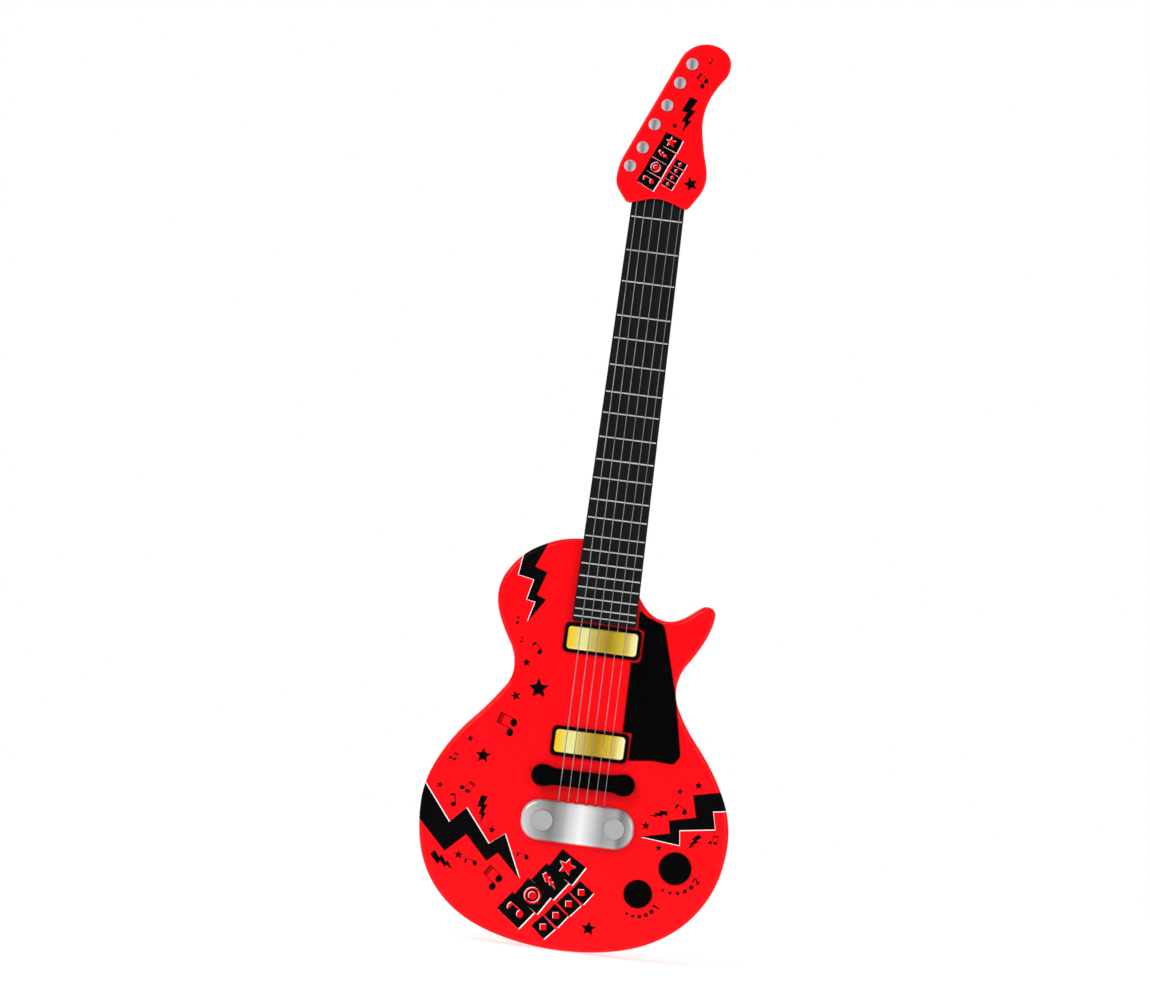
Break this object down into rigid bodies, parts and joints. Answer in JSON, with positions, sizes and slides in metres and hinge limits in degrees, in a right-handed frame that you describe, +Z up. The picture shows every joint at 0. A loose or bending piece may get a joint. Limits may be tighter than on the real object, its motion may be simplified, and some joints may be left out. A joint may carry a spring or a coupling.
{
  "type": "toy electric guitar",
  "caption": "Toy electric guitar with a single-cutaway red body, black neck with strings, slanted headstock, pickups, pickguard, bridge, sound buttons, speaker and battery bay.",
  "frame": {"origin": "where the neck's centre line crosses the nut line, in the plane where the body's front and back shells meet; a wall hanger holds the neck here", "axes": "+Z up along the neck towards the headstock, -Y out of the front with the strings, +X to the right seen from the front"},
  "size_m": [0.2163, 0.0526, 0.6396],
  "materials": {
    "red_shell": "gloss moulded ABS",
    "door_red": "gloss moulded ABS",
    "black_plate": "satin",
    "gold_cover": "gold plated plastic",
    "black_bridge": "satin",
    "silver_cover": "metallised plastic",
    "grey_stud": "satin",
    "tuner_silver": "metallised plastic",
    "string_steel": "bright wire",
    "zinc_bar": "cast",
    "nut_plastic": "matte",
    "fretboard_black": "satin",
    "fret_silver": "bright",
    "neck_black": "satin",
    "screw_steel": "zinc plated",
    "circuit_green": "solder mask",
    "chip_epoxy": "epoxy",
    "switch_black": "matte",
    "plunger_plastic": "matte",
    "spring_steel": "nickel plated",
    "speaker_frame": "plated",
    "magnet_black": "ferrite",
    "cone_paper": "pressed paper",
    "tray_plastic": "matte",
    "cell_case": "printed sleeve",
    "contact_plate": "nickel plated",
    "wire_cover": "insulation"
  },
  "bodies": {
    "guitar": {"battery_box": "tray_plastic", "battery_cell_1": "cell_case", "battery_cell_2": "cell_case", "battery_cell_3": "cell_case", "battery_contacts": "contact_plate", "battery_springs": "spring_steel", "board_components": "chip_epoxy", "board_screws": "screw_steel", "body_back_shell": "red_shell", "body_front_shell": "red_shell", "body_screws": "screw_steel", "bridge": "black_bridge", "bridge_pickup_cover": "gold_cover", "bridge_pickup_frame": "black_plate", "fretboard": "fretboard_black", "frets": "fret_silver", "head_back_shell": "red_shell", "head_front_shell": "red_shell", "head_screws": "screw_steel", "main_board": "circuit_green", "mode_1_spring": "spring_steel", "mode_1_switch": "switch_black", "mode_2_spring": "spring_steel", "mode_2_switch": "switch_black", "neck_back_shell": "neck_black", "neck_pickup_cover": "gold_cover", "neck_pickup_frame": "black_plate", "neck_screws": "screw_steel", "pickguard": "black_plate", "power_switch_body": "switch_black", "sound_chip": "chip_epoxy", "speaker_basket": "speaker_frame", "speaker_cone": "cone_paper", "speaker_magnet": "magnet_black", "speaker_screws": "screw_steel", "string_1": "string_steel", "string_2": "string_steel", "string_3": "string_steel", "string_4": "string_steel", "string_5": "string_steel", "string_6": "string_steel", "string_anchor_bar": "zinc_bar", "string_nut": "nut_plastic", "tailpiece_cover": "silver_cover", "tailpiece_studs": "grey_stud", "tuner_cap_1": "tuner_silver", "tuner_cap_2": "tuner_silver", "tuner_cap_3": "tuner_silver", "tuner_cap_4": "tuner_silver", "tuner_cap_5": "tuner_silver", "tuner_cap_6": "tuner_silver", "wiring": "wire_cover"},
    "mode_1": {"mode_1_button": "black_bridge", "mode_1_plunger": "plunger_plastic"},
    "mode_2": {"mode_2_button": "black_bridge", "mode_2_plunger": "plunger_plastic"},
    "power_knob": {"power_switch_knob": "plunger_plastic"},
    "door": {"battery_door": "door_red", "battery_door_screw": "screw_steel"}
  },
  "joints": [
    {"name": "mode_1_press", "type": "slide", "parent": "guitar", "child": "mode_1", "axis": [0, 1, 0], "range_m": [0, 0.0014], "stiffness_N_per_m": 600, "springref_m": -0.001, "deforming": ["mode_1_spring"]},
    {"name": "mode_2_press", "type": "slide", "parent": "guitar", "child": "mode_2", "axis": [0, 1, 0], "range_m": [0, 0.0014], "stiffness_N_per_m": 600, "springref_m": -0.001, "deforming": ["mode_2_spring"]},
    {"name": "power_slide", "type": "slide", "parent": "guitar", "child": "power_knob", "axis": [1, 0, 0], "range_m": [0, 0.004]},
    {"name": "battery_door_hinge", "type": "hinge", "parent": "guitar", "child": "door", "pos_m": [0.005, 0.01885, -0.402], "axis": [0, 0, 1], "range_deg": [0, 55]}
  ]
}
